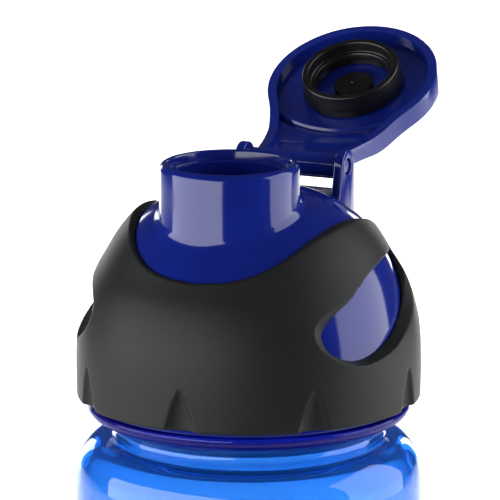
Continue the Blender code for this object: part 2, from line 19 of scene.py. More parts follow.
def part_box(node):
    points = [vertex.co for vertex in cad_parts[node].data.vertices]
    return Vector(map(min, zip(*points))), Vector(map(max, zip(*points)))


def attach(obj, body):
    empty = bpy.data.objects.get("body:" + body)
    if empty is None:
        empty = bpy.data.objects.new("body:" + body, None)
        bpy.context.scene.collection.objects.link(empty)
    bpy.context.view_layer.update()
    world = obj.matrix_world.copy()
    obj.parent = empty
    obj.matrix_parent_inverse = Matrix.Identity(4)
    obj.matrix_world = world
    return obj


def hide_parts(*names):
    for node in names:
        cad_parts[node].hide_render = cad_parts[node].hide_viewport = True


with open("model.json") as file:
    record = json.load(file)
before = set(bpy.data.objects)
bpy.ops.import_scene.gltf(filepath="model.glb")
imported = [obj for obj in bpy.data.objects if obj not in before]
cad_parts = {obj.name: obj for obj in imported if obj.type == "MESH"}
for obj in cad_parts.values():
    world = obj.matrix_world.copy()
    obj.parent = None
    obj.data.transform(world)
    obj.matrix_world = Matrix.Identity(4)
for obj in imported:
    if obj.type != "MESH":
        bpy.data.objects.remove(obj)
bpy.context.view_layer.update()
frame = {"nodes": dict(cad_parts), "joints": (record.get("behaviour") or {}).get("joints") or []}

LOG = logging.getLogger("sports_bottle")
MM = 0.001
CAP_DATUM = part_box("grip_sleeve")[0].z / MM

# Distances in millimetres at which vertices merge, where a wire closes and at a turning's poles.
WIRE_MERGE = 0.0005
POLE_MERGE = 0.002

Pair = tuple[float, float]
Run = list[Pair]
Places = Sequence[Sequence[float]]
Piece = bpy.types.Object


# Reading the frame


def joint(name: str) -> dict:
    """Return the frame's joint of that name."""
    return next(entry for entry in frame["joints"] if entry["name"] == name)


class Body(Enum):
    """The bodies that the pieces ride on."""

    BOTTLE = "bottle"
    CAP = "cap"
    LID = "lid"


# Outline helpers, in millimetres


def smooth_run(points: Sequence[Pair], steps: int, closed: bool = False) -> Run:
    """Run a smooth curve through points.

    Args:
        points: The points that the curve passes through.
        steps: Pieces in each span.
        closed: Whether the curve returns to its start.

    Returns:
        The curve as a list of points.
    """
    count = len(points)

    def at(i: int) -> Vector:
        """Return a point, going round or past the ends as needed."""
        if closed:
            return Vector(points[i % count])
        if i < 0:
            return 2 * Vector(points[0]) - Vector(points[1])
        if i >= count:
            return 2 * Vector(points[-1]) - Vector(points[-2])
        return Vector(points[i])

    run: Run = []
    for i in range(count if closed else count - 1):
        a, b, c, d = (at(i + k) for k in (-1, 0, 1, 2))
        for k in range(steps):
            t = k / steps
            spot = 0.5 * (2 * b + (c - a) * t + (2 * a - 5 * b + 4 * c - d) * t ** 2
                          + (3 * b - a - 3 * c + d) * t ** 3)
            run.append((spot[0], spot[1]))
    if not closed:
        run.append((points[-1][0], points[-1][1]))
    return run


def arc_run(centre: Pair, radius: float, start: float, end: float, steps: int) -> Run:
    """Return points along an arc.

    Args:
        centre: Middle of the arc.
        radius: Radius of the arc.
        start: First angle in degrees.
        end: Last angle in degrees.
        steps: Pieces in the arc.

    Returns:
        The arc as a list of points.
    """
    run: Run = []
    for i in range(steps + 1):
        angle = math.radians(start + (end - start) * i / steps)
        run.append((centre[0] + radius * math.cos(angle), centre[1] + radius * math.sin(angle)))
    return run


def between(value: float, table: Sequence[Pair]) -> float:
    """Read a value off a table of rising (place, value) pairs, in a straight line between them.

    Args:
        value: Where to read.
        table: The pairs.

    Returns:
        The value there, or the nearest end's.
    """
    if value <= table[0][0]:
        return table[0][1]
    for (a, low), (b, high) in zip(table, table[1:]):
        if value <= b:
            return low + (high - low) * (value - a) / (b - a)
    return table[-1][1]


def offset_run(run: Run, distance: float) -> Run:
    """Move a section that runs down its outer side inwards by a distance.

    Args:
        run: The section's points.
        distance: How far to move, inwards if positive.

    Returns:
        The moved section.
    """
    moved: Run = []
    for i, point in enumerate(run):
        before = Vector(run[max(i - 1, 0)])
        after = Vector(run[min(i + 1, len(run) - 1)])
        along = (after - before).normalized()
        moved.append((max(point[0] + along[1] * distance, 0.0), point[1] - along[0] * distance))
    return moved


# Mesh helpers


def deselect() -> None:
    """Leave edit mode and deselect everything."""
    if bpy.context.mode != "OBJECT":
        bpy.ops.object.mode_set(mode="OBJECT")
    bpy.ops.object.select_all(action="DESELECT")


def activate(piece: Piece) -> None:
    """Make one object the only selected and active one."""
    deselect()
    piece.select_set(True)
    bpy.context.view_layer.objects.active = piece


def start_point(name: str, place: Sequence[float]) -> Piece:
    """Add a plane, shrink it to one vertex and move that to a place, in edit mode.

    Args:
        name: Name of the new object.
        place: Where the vertex goes, in millimetres.

    Returns:
        The new object, still in edit mode.
    """
    deselect()
    bpy.ops.mesh.primitive_plane_add(size=MM, location=(0.0, 0.0, 0.0))
    piece = bpy.context.active_object
    piece.name = name
    piece.data.name = name
    bpy.ops.object.mode_set(mode="EDIT")
    bpy.ops.mesh.select_all(action="SELECT")
    bpy.ops.mesh.merge(type="CENTER")
    bpy.ops.transform.translate(value=tuple(c * MM for c in place))
    return piece


def extrude(step: Iterable[float]) -> None:
    """Extrude what is selected by a step in millimetres."""
    shift = tuple(c * MM for c in step)
    bpy.ops.mesh.extrude_region_move(TRANSFORM_OT_translate={"value": shift})


def finish_solid() -> None:
    """Turn the faces of the mesh in edit mode outwards and leave edit mode."""
    bpy.ops.mesh.select_all(action="SELECT")
    bpy.ops.mesh.normals_make_consistent(inside=False)
    bpy.ops.object.mode_set(mode="OBJECT")


def traced(name: str, places: Places, closed: bool = False) -> Piece:
    """Draw a wire through places by extruding a vertex.

    Args:
        name: Name of the new object.
        places: The wire's points, in millimetres.
        closed: Whether the wire returns to its start.

    Returns:
        The new object, in edit mode with everything selected.
    """
    piece = start_point(name, places[0])
    run = list(places) + ([places[0]] if closed else [])
    for before, after in zip(run, run[1:]):
        extrude(b - a for a, b in zip(before, after))
    bpy.ops.mesh.select_all(action="SELECT")
    if closed:
        bpy.ops.mesh.remove_doubles(threshold=WIRE_MERGE * MM)
    return piece


def spun(name: str, section: Run, steps: int, closed: bool = False,
         centre: Sequence[float] = (0.0, 0.0, 0.0)) -> Piece:
    """Turn a (radius, height) section about an upright axis.

    Args:
        name: Name of the new object.
        section: The section's points, in millimetres.
        steps: Steps in the full turn.
        closed: Whether the section is a closed ring.
        centre: A point on the axis, in millimetres; heights are counted from it.

    Returns:
        The turned object, in object mode.
    """
    places = [(centre[0] + r, centre[1], centre[2] + z) for r, z in section]
    piece = traced(name, places, closed)
    middle = tuple(c * MM for c in centre)
    bpy.ops.mesh.spin(steps=steps, angle=2 * math.pi, center=middle, axis=(0.0, 0.0, 1.0))
    bpy.ops.mesh.select_all(action="SELECT")
    bpy.ops.mesh.remove_doubles(threshold=POLE_MERGE * MM)
    finish_solid()
    return piece


def lofted(name: str, loops: Sequence[Places]) -> Piece:
    """Fill a first loop, then extrude it from loop to loop.

    Args:
        name: Name of the new object.
        loops: Loops of the same number of points, in order from one end to the other, in millimetres.

    Returns:
        The closed object, in object mode.
    """
    piece = traced(name, loops[0], closed=True)
    bpy.ops.mesh.edge_face_add()
    for before, after in zip(loops, loops[1:]):
        bpy.ops.mesh.extrude_region_move()
        move_ring(piece, before, after)
    finish_solid()
    return piece


def move_ring(piece: Piece, before: Places, after: Places) -> None:
    """Move the selected ring of vertices from one loop's points to the next one's.

    Args:
        piece: The object in edit mode.
        before: The points that the ring stands at, in millimetres.
        after: The points that it moves to.
    """
    mesh = bmesh.from_edit_mesh(piece.data)
    starts = [Vector(point) * MM for point in before]
    for vert in (v for v in mesh.verts if v.select):
        nearest = min(range(len(starts)), key=lambda i: (starts[i] - vert.co).length_squared)
        vert.co = Vector(after[nearest]) * MM
    bmesh.update_edit_mesh(piece.data)


def boolean(target: Piece, tool: Piece, operation: str) -> None:
    """Apply an exact Boolean and remove the tool.

    Args:
        target: The object that is changed.
        tool: The object that cuts or joins it.
        operation: DIFFERENCE, UNION or INTERSECT.
    """
    activate(target)
    step = target.modifiers.new("Boolean", "BOOLEAN")
    step.operation = operation
    step.solver = "EXACT"
    step.object = tool
    bpy.ops.object.modifier_apply(modifier=step.name)
    bpy.data.objects.remove(tool, do_unlink=True)


def joined(name: str, parts: Sequence[Piece]) -> Piece:
    """Join objects into the first of them.

    Args:
        name: Name of the joined object.
        parts: The objects.

    Returns:
        The joined object.
    """
    activate(parts[0])
    for part in parts[1:]:
        part.select_set(True)
    bpy.ops.object.join()
    piece = bpy.context.active_object
    piece.name = name
    piece.data.name = name
    return piece


def prism_x(name: str, outline: Run, low: float, high: float) -> Piece:
    """Extrude a (y, z) outline along X.

    Args:
        name: Name of the new object.
        outline: The outline, in millimetres.
        low: X of the first side.
        high: X of the other side.

    Returns:
        The solid, in object mode.
    """
    piece = traced(name, [(low, y, z) for y, z in outline], closed=True)
    bpy.ops.mesh.edge_face_add()
    extrude((high - low, 0.0, 0.0))
    finish_solid()
    return piece


def rod_x(name: str, radius: float, low: float, high: float, y: float, z: float,
          rounding: float, vertices: int = 64) -> Piece:
    """Add a rod along X with rounded ends.

    Args:
        name: Name of the new object.
        radius: Radius in millimetres.
        low: X of its first end.
        high: X of its other end.
        y: Y of its axis.
        z: Z of its axis.
        rounding: Size of the edge rounding.
        vertices: Sides round it.

    Returns:
        The rod, in object mode.
    """
    deselect()
    bpy.ops.mesh.primitive_cylinder_add(
        vertices=vertices, radius=radius * MM, depth=(high - low) * MM,
        location=((low + high) / 2 * MM, y * MM, z * MM), rotation=(0.0, math.pi / 2, 0.0))
    piece = bpy.context.active_object
    piece.name = name
    settle(piece)
    if rounding > 0:
        bevel_sharp(piece, rounding, 3, 60.0)
    return piece


def settle(piece: Piece) -> None:
    """Apply an object's place, turn and scale to its mesh."""
    activate(piece)
    bpy.ops.object.transform_apply(location=True, rotation=True, scale=True)


def bevel_sharp(piece: Piece, width: float, segments: int, angle: float) -> None:
    """Round the edges that are sharper than an angle.

    Args:
        piece: The object.
        width: Width of the rounding in millimetres.
        segments: Steps across it.
        angle: Least angle between the faces, in degrees.
    """
    activate(piece)
    step = piece.modifiers.new("Rounding", "BEVEL")
    step.width = width * MM
    step.segments = segments
    step.limit_method = "ANGLE"
    step.angle_limit = math.radians(angle)
    step.use_clamp_overlap = True
    bpy.ops.object.modifier_apply(modifier=step.name)


def shade(piece: Piece, angle: float = 35.0) -> None:
    """Shade an object smooth except at edges sharper than an angle in degrees."""
    activate(piece)
    bpy.ops.object.shade_smooth_by_angle(angle=math.radians(angle))


def move_points(piece: Piece, rule: Callable[[Vector], Vector]) -> None:
    """Move every vertex by a rule, both in metres."""
    for vert in piece.data.vertices:
        vert.co = rule(vert.co)
    piece.data.update()


def hand_over(piece: Piece, look: bpy.types.Material, body: Body, node: str) -> None:
    """Dress a finished piece, put it on its body and let it stand for its CAD node.

    Args:
        piece: The finished object.
        look: Its material.
        body: The body that it rides on.
        node: The CAD node that it replaces.
    """
    settle(piece)
    piece.data.materials.clear()
    piece.data.materials.append(look)
    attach(piece, body.value)
    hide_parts(node)
    LOG.info("%s rides on %s with %d faces", piece.name, body.value, len(piece.data.polygons))


# Finishes


def linear(code: str) -> tuple[float, float, float, float]:
    """Turn an sRGB hex colour such as #1a2b3c into linear RGBA."""
    values = []
    for i in (1, 3, 5):
        c = int(code[i:i + 2], 16) / 255
        values.append(c / 12.92 if c <= 0.04045 else ((c + 0.055) / 1.055) ** 2.4)
    return (values[0], values[1], values[2], 1.0)


def feed(tree: bpy.types.NodeTree, node: bpy.types.Node, values: dict) -> None:
    """Set or link a node's inputs.

    Args:
        tree: The node tree.
        node: The node.
        values: Input name or number to a value, or to an output socket that feeds it.
    """
    for key, value in values.items():
        if isinstance(value, bpy.types.NodeSocket):
            tree.links.new(value, node.inputs[key])
        else:
            node.inputs[key].default_value = value


def add_node(tree: bpy.types.NodeTree, kind: str, links: Optional[dict] = None,
             **settings: object) -> bpy.types.Node:
    """Add a node with its settings, socket values and links.

    Args:
        tree: The node tree.
        kind: The node's type name.
        links: What its inputs are fed with, as feed takes it.
        **settings: Properties of the node itself.

    Returns:
        The new node.
    """
    node = tree.nodes.new(kind)
    for key, value in settings.items():
        setattr(node, key, value)
    feed(tree, node, links or {})
    return node


def new_material(name: str) -> tuple[bpy.types.Material, bpy.types.NodeTree, bpy.types.Node]:
    """Return a new material, its tree and its Principled node."""
    made = bpy.data.materials.new(name)
    made.use_nodes = True
    tree = made.node_tree
    return made, tree, tree.nodes["Principled BSDF"]


@dataclass(frozen=True)
class MouldedSkin:
    """An opaque moulded skin: its colour drifts in patches, its gloss and relief follow a grain."""

    name: str
    colour: str
    drift: str
    roughness: Pair
    ior: float = 1.5
    specular: float = 0.5
    patch_mm: float = 5.0
    patch_detail: float = 5.0
    grain_mm: float = 5.0
    grain_detail: float = 5.0
    relief_mm: float = 0.02
    relief_strength: float = 0.3

    def build(self) -> bpy.types.Material:
        """Return the material."""
        made, tree, shader = new_material(self.name)
        place = add_node(tree, "ShaderNodeTexCoord")
        patch = add_node(tree, "ShaderNodeTexNoise", {
            "Vector": place.outputs["Object"], "Scale": 1 / (self.patch_mm * MM),
            "Detail": self.patch_detail
        })
        grain = add_node(tree, "ShaderNodeTexNoise", {
            "Vector": place.outputs["Object"], "Scale": 1 / (self.grain_mm * MM),
            "Detail": self.grain_detail
        })
        blend = add_node(tree, "ShaderNodeMix", {
            0: patch.outputs["Fac"], 6: linear(self.colour), 7: linear(self.drift)
        }, data_type="RGBA")
        matt = add_node(tree, "ShaderNodeMapRange", {
            "Value": grain.outputs["Fac"], "To Min": self.roughness[0],
            "To Max": self.roughness[1]
        })
        bump = add_node(tree, "ShaderNodeBump", {
            "Height": grain.outputs["Fac"], "Strength": self.relief_strength,
            "Distance": self.relief_mm * MM
        })
        feed(tree, shader, {"Base Color": blend.outputs[2], "Roughness": matt.outputs[0],
                            "Normal": bump.outputs[0], "IOR": self.ior,
                            "Specular IOR Level": self.specular})
        return made


@dataclass(frozen=True)
class MouldedPolypropylene(MouldedSkin):
    """Injection-moulded gloss polypropylene: deep even colour, a sharp highlight, faint flow waves."""

    name: str = "moulded_gloss_polypropylene"
    colour: str = "#0d1f7a"
    drift: str = "#0b1966"
    roughness: Pair = (0.08, 0.125)
    ior: float = 1.49
    patch_mm: float = 9.0
    patch_detail: float = 2.0
    grain_mm: float = 9.0
    grain_detail: float = 2.0
    relief_mm: float = 0.004
    relief_strength: float = 0.5


@dataclass(frozen=True)
class SparkTexturedRubber(MouldedSkin):
    """Overmoulded thermoplastic rubber from a spark-eroded tool: charcoal, matt, with a fine grit.

    The grit is drawn coarser than the real 0.1 mm so that it shows.
    """

    name: str = "spark_textured_rubber"
    colour: str = "#151617"
    drift: str = "#1d1e1f"
    roughness: Pair = (0.39, 0.57)
    specular: float = 0.21
    patch_mm: float = 12.0
    patch_detail: float = 3.0
    grain_mm: float = 0.35
    grain_detail: float = 2.0
    relief_mm: float = 0.06
    relief_strength: float = 0.6


@dataclass(frozen=True)
class SatinElastomer(MouldedSkin):
    """Moulded satin elastomer, as on seals: near black, softly shining, slightly dusty."""

    name: str = "moulded_plug_elastomer"
    colour: str = "#070708"
    drift: str = "#131313"
    roughness: Pair = (0.24, 0.4)


@dataclass(frozen=True)
class ClearCopolyester:
    """Blow-moulded clear copolyester tinted blue: glassy skin and colour that deepens with thickness.

    The flange is seen through its whole width, and a ring of darker violet haze on it is painted shade
    for the dark cap and sleeve seen through it.
    """

    name: str = "blow_moulded_clear_copolyester"
    skin: str = "#e6f1ff"
    tint: tuple[float, float, float, float] = (0.05, 0.62, 0.955, 1.0)
    density: float = 760.0
    ior: float = 1.54
    roughness: float = 0.02
    haze: float = 0.16
    haze_colour: str = "#2a86ee"
    # Painted shade: a darker violet band of haze on the flange, for the dark cap and sleeve seen
    # through it.
    ring_shade_share: float = 0.55
    ring_shade_colour: str = "#17127c"
    ring_shade_edges: tuple[Pair, Pair] = ((-6.4, -4.6), (-0.4, -1.2))
    ripple_mm: float = 14.0
    ripple_height_mm: float = 0.02

    def build(self) -> bpy.types.Material:
        """Return the material."""
        made, tree, shader = new_material(self.name)
        place = add_node(tree, "ShaderNodeTexCoord")
        ripple = add_node(tree, "ShaderNodeTexNoise", {
            "Vector": place.outputs["Object"], "Scale": 1 / (self.ripple_mm * MM), "Detail": 1.0
        })
        bump = add_node(tree, "ShaderNodeBump", {
            "Height": ripple.outputs["Fac"], "Strength": 0.6,
            "Distance": self.ripple_height_mm * MM
        })
        feed(tree, shader, {"Base Color": linear(self.skin), "IOR": self.ior, "Normal": bump.outputs[0],
                            "Roughness": self.roughness, "Transmission Weight": 1.0})
        level = add_node(tree, "ShaderNodeSeparateXYZ", {0: place.outputs["Object"]})
        # Soft lower and upper edges of the painted shade band on the flange, just under the sleeve.
        edges = []
        for clear, full in self.ring_shade_edges:
            edges.append(add_node(tree, "ShaderNodeMapRange", {
                "Value": level.outputs["Z"], "From Min": (CAP_DATUM + clear) * MM,
                "From Max": (CAP_DATUM + full) * MM
            }, interpolation_type="SMOOTHSTEP"))
        # The ring mask is where the painted shade lies.
        ring = add_node(tree, "ShaderNodeMath", {
            0: edges[0].outputs[0], 1: edges[1].outputs[0]
        }, operation="MULTIPLY")
        # Haze colour, turning to the painted shade colour in the flange band.
        tone = add_node(tree, "ShaderNodeMix", {
            0: ring.outputs[0], 6: linear(self.haze_colour), 7: linear(self.ring_shade_colour)
        }, data_type="RGBA")
        haze = add_node(tree, "ShaderNodeBsdfDiffuse", {"Color": tone.outputs[2]})
        cloud = add_node(tree, "ShaderNodeMapRange", {
            "Value": ripple.outputs["Fac"], "To Min": self.haze * 0.9, "To Max": self.haze * 1.1
        })
        # More haze in the band, so that the painted shade shows over the clear skin.
        share = add_node(tree, "ShaderNodeMapRange", {
            "Value": ring.outputs[0], "To Max": self.ring_shade_share, "To Min": cloud.outputs[0]
        })
        mixed = add_node(tree, "ShaderNodeMixShader", {
            0: share.outputs[0], 1: shader.outputs[0], 2: haze.outputs[0]
        })
        inside = add_node(tree, "ShaderNodeVolumeAbsorption", {
            "Color": self.tint, "Density": self.density
        })
        feed(tree, tree.nodes["Material Output"], {"Surface": mixed.outputs[0],
                                                   "Volume": inside.outputs[0]})
        return made


@dataclass(frozen=True)
class StudioPaper:
    """Uncoated white studio paper: matt and even, with a fibre too faint to see as a pattern."""

    name: str = "studio_paper"
    colour: str = "#f4f4f4"
    roughness: float = 0.9
    fibre_scale: float = 900.0
    fibre_height_mm: float = 0.05

    def build(self) -> bpy.types.Material:
        """Return the material."""
        made, tree, shader = new_material(self.name)
        place = add_node(tree, "ShaderNodeTexCoord")
        fibre = add_node(tree, "ShaderNodeTexNoise", {
            "Vector": place.outputs["Object"], "Scale": self.fibre_scale
        })
        bump = add_node(tree, "ShaderNodeBump", {
            "Height": fibre.outputs["Fac"], "Strength": 0.05,
            "Distance": self.fibre_height_mm * MM
        })
        feed(tree, shader, {"Base Color": linear(self.colour), "Roughness": self.roughness,
                            "Normal": bump.outputs[0]})
        return made


# The threads


@dataclass
class Thread:
    """A right-hand screw thread: a round bead on a helix, with pointed ends.

    The steps are counted in a turn, the taper in steps, and the point is a share of the bead.
    """

    radius: float
    height: float
    bead: float = 1.4
    lead: float = 5.0
    first: float = 0.0
    turns: float = 1.5
    sides: int = 12
    steps: int = 64
    taper: int = 5
    point: float = 0.35

    def build(self, name: str) -> Piece:
        """Sweep the bead, from its height above the cap's datum on the +X side.

        Args:
            name: Name of the new object.

        Returns:
            The bead, in object mode.
        """
        count = round(self.steps * self.turns)
        loops = []
        for i in range(count + 1):
            turn = self.first + i / self.steps
            angle = 2 * math.pi * turn
            ends = min(i, count - i) / self.taper
            size = self.bead * min(1.0, self.point + (1.0 - self.point) * ends)
            middle = CAP_DATUM + self.height + self.lead * turn
            loop = []
            for k in range(self.sides):
                around = 2 * math.pi * k / self.sides
                r = self.radius + size * math.cos(around)
                z = middle + size * math.sin(around)
                loop.append((r * math.cos(angle), r * math.sin(angle), z))
            loops.append(loop)
        return lofted(name, loops)


# The bottle


@dataclass
class Bottle:
    """The clear bottle: a plain body, rounded shoulder, waisted neck, flange and screw thread."""

    radius: float = 37.0
    wall: float = 1.8
    base_rounding: float = 5.0
    neck_radius: float = 28.6
    neck_wall: float = 2.2
    neck_top: float = 13.0
    flange_top: float = -1.4
    flange_bottom: float = -5.4
    flange_radius: float = 34.4
    shoulder: float = -8.4
    thread: Thread = field(default_factory=lambda: Thread(radius=29.2, height=2.6))
    rim_rounding: float = 0.7
    foot_ring: float = 24.0
    wall_levels: tuple[float, ...] = (130.0, 95.0, 60.0, 30.0)
    steps: int = 160
    look: ClearCopolyester = field(default_factory=ClearCopolyester)

    def outside(self) -> Run:
        """Return the outer section from the neck's rim down to the base's middle."""
        top = self.neck_top
        low = self.shoulder
        edge = self.rim_rounding
        rim = arc_run((self.neck_radius - edge, top - edge), edge, 90, 0, 5)
        flange = arc_run((self.neck_radius + 0.5, self.flange_top + 0.5), 0.5, 180, 270, 3)
        flange += arc_run((self.flange_radius - 0.6, self.flange_top - 0.6), 0.6, 90, 0, 4)
        flange += smooth_run([(self.flange_radius - 0.05, self.flange_top - 1.1),
                              (self.flange_radius - 0.9, self.flange_top - 2.3),
                              (self.flange_radius - 3.0, self.flange_bottom + 0.7),
                              (self.neck_radius + 0.9, self.flange_bottom - 0.2)], 5)
        waist = smooth_run([(self.neck_radius + 0.1, self.flange_bottom - 0.9),
                            (self.neck_radius - 0.1, low + 1.4), (self.neck_radius + 0.5, low + 0.3),
                            (self.neck_radius + 2.2, low - 0.25), (self.radius - 3.4, low - 1.5),
                            (self.radius - 1.0, low - 4.4), (self.radius - 0.15, low - 8.0),
                            (self.radius, low - 12.0)], 6)
        run = [(r, z + CAP_DATUM) for r, z in rim + flange + waist]
        run += [(self.radius, z) for z in self.wall_levels]
        corner = (self.radius - self.base_rounding, self.base_rounding)
        run += arc_run(corner, self.base_rounding, 0, -90, 12)
        return run + [(self.foot_ring, 0.0), (0.0, 0.0)]

    def inside(self) -> Run:
        """Return the inner section from the base's middle up to the neck's rim."""
        bore = self.neck_radius - self.neck_wall
        wide = self.radius - self.wall
        low = self.shoulder
        corner = (self.radius - self.base_rounding, self.base_rounding)
        run: Run = [(0.0, self.wall), (self.foot_ring, self.wall)]
        run += arc_run(corner, self.base_rounding - self.wall, -90, 0, 10)
        run += [(wide, z) for z in reversed(self.wall_levels)]
        upper = smooth_run([(wide, low - 12.5), (wide - 0.2, low - 8.6), (wide - 1.3, low - 5.4),
                            (wide - 3.6, low - 3.1), (bore + 2.0, low - 2.2), (bore + 0.5, low - 1.4),
                            (bore, low + 0.6)], 6)
        edge = self.rim_rounding
        rim = arc_run((bore + edge, self.neck_top - edge), edge, 180, 90, 5)
        return run + [(r, z + CAP_DATUM) for r, z in upper + rim]

    def build(self) -> None:
        """Build and dress the bottle."""
        body = spun("bottle", self.outside() + self.inside(), self.steps, closed=True)
        boolean(body, self.thread.build("neck_thread"), "UNION")
        shade(body, 40.0)
        hand_over(body, self.look.build(), Body.BOTTLE, "bottle_body")


# The cap


@dataclass
class Dome:
    """The dome's section, shared by the cap, the spout's foot and the sleeve's lining."""

    top: float = 45.0
    skirt_radius: float = 34.2

    def section(self) -> Run:
        """Return the outer section from the top down to the skirt."""
        top = self.top
        return smooth_run([(0.0, top), (10.0, top - 0.7), (18.0, top - 3.2), (24.4, top - 7.6),
                           (28.4, top - 12.8), (31.0, top - 18.0), (32.8, top - 24.8),
                           (self.skirt_radius, top - 33.0)], 6)

    def height(self, radius: float) -> float:
        """Return the dome's height at a radius."""
        return between(radius, self.section())


@dataclass
class Cap:
    """The moulded cap: dome, seat, inner thread, wide spout and the lid's bracket."""

    dome: Dome = field(default_factory=Dome)
    wall: float = 2.2
    skirt_bottom: float = -1.0
    skirt_bore: float = 31.8
    seat_radius: float = 28.0
    seat_bottom: float = 15.2
    seat_top: float = 16.8
    spout_y: float = -10.3
    spout_radius: float = 14.8
    spout_top: float = 52.2
    spout_bore: float = 11.6
    spout_lead_in: float = 13.0
    spout_ledge: float = 2.1
    rim_rounding: float = 1.5
    foot_fillet: float = 1.6
    spout_straight: tuple[float, ...] = (48.0, 45.0)
    bore_levels: tuple[float, ...] = (17.0, 36.0)
    foot_mark: float = 20.0
    end_drop: float = 1.6
    sink: float = 0.02
    hinge_y: float = 25.0
    hinge_z: float = 45.5
    ear_centre: float = 11.6
    ear_thickness: float = 2.0
    ear_radius: float = 3.6
    bridge_top: float = 40.0
    bridge_front: float = 7.0
    bracket_low: float = 29.0
    eye_radius: float = 1.8
    thread: Thread = field(default_factory=lambda: Thread(radius=31.2, height=0.1, first=0.3))
    steps: int = 160
    look: MouldedPolypropylene = field(default_factory=MouldedPolypropylene)

    def shell(self) -> Piece:
        """Return the domed shell with a hole under the spout."""
        outer = self.dome.section()
        skirt = self.dome.skirt_radius
        outer += arc_run((skirt - 0.4, self.skirt_bottom + 0.4), 0.4, 0, -90, 4)
        inner: Run = [(self.skirt_bore, self.skirt_bottom), (self.skirt_bore, self.seat_bottom),
                      (self.seat_radius, self.seat_bottom), (self.seat_radius, self.seat_top)]
        lowest = self.seat_top + 1.0
        ceiling = [p for p in offset_run(self.dome.section(), self.wall) if p[1] > lowest]
        inner += [(ceiling[-1][0] + 0.2, self.seat_top)] + list(reversed(ceiling))
        inner[-1] = (0.0, inner[-1][1])
        shell = spun("cap", outer + inner, self.steps, closed=True, centre=(0, 0, CAP_DATUM))
        hole_radius = (self.spout_bore + self.spout_radius) / 2
        deselect()
        bpy.ops.mesh.primitive_cylinder_add(
            vertices=96, radius=hole_radius * MM, depth=self.dome.top * MM,
            location=(0.0, self.spout_y * MM, (CAP_DATUM + self.spout_top - 5.0) * MM))
        hole = bpy.context.active_object
        settle(hole)
        boolean(shell, hole, "DIFFERENCE")
        return shell

    def spout(self) -> Piece:
        """Return the spout as a rounded tube whose foot flares onto the dome."""
        top = self.spout_top
        ledge = top - self.spout_ledge
        radius = self.spout_radius
        fillet = self.foot_fillet
        edge = self.rim_rounding
        outer = arc_run((radius - edge, top - edge), edge, 90, 0, 8)
        outer += [(radius, z) for z in self.spout_straight]
        mark = self.foot_mark
        outer += arc_run((radius + fillet, fillet + mark), fillet, 180, 270, 8)
        inner: Run = [(radius - 1.4, self.bore_levels[0])]
        inner += [(self.spout_bore, z) for z in (*self.bore_levels, ledge - 0.25)]
        inner += [(self.spout_bore + 0.25, ledge), (self.spout_lead_in - 0.2, ledge)]
        inner += arc_run((self.spout_lead_in + 0.5, top - 0.5), 0.5, 180, 90, 4)
        tube = spun("spout", outer + inner, 128, closed=True, centre=(0, self.spout_y, CAP_DATUM))

        def seat(co: Vector) -> Vector:
            """Drop the flare onto the dome and the tube's end inside it."""
            h = co.z / MM - CAP_DATUM
            if h > mark + fillet + self.sink:
                return co
            ground = self.dome.height(math.hypot(co.x, co.y) / MM)
            lift = h - mark if h > mark - fillet else -self.end_drop
            return Vector((co.x, co.y, (CAP_DATUM + ground + lift - self.sink) * MM))

        move_points(tube, seat)
        return tube

    def ear(self, side: int) -> Piece:
        """Return one ear of the bracket on a side, with its eye cut.

        Args:
            side: -1 for the -X side, 1 for the +X side.

        Returns:
            The ear, in object mode.
        """
        y = self.hinge_y
        z = self.hinge_z
        head = arc_run((y, z), self.ear_radius, 0, 158, 20)
        front = smooth_run([head[-1], (y - 4.6, z - 4.0), (y - 5.9, z - 8.0), (y - 8.6, 30.0)], 5)
        foot = [(y + 1.0, self.bracket_low), (y + self.ear_radius, self.bracket_low + 3.0)]
        outline = [(a, b + CAP_DATUM) for a, b in foot + head[:-1] + front]
        low = side * self.ear_centre - self.ear_thickness / 2
        high = low + self.ear_thickness
        ear = prism_x(f"ear_{side}", outline, low, high)
        eye = rod_x("eye", self.eye_radius, low - 2, high + 2, y, z + CAP_DATUM, 0.0, 48)
        boolean(ear, eye, "DIFFERENCE")
        bevel_sharp(ear, 0.3, 3, 40.0)
        return ear

    def bridge(self) -> Piece:
        """Return the web between the ears, which stands on the dome."""
        y = self.hinge_y
        back = y + self.ear_radius - 0.4
        front = y - self.bridge_front
        low = self.bracket_low
        outline = [(back, low)] + arc_run((back - 1.0, self.bridge_top - 1.0), 1.0, 0, 90, 6)
        outline += [(front, self.bridge_top), (front, low)]
        half = self.ear_centre
        web = prism_x("bridge", [(a, b + CAP_DATUM) for a, b in outline], -half, half)
        bevel_sharp(web, 0.3, 2, 60.0)
        return web

    def build(self) -> None:
        """Build and dress the cap."""
        thread = self.thread.build("cap_thread")
        parts = [self.shell(), self.spout(), self.ear(-1), self.ear(1), self.bridge(), thread]
        cap = joined("cap", parts)
        shade(cap, 40.0)
        hand_over(cap, self.look.build(), Body.CAP, "cap_shell")


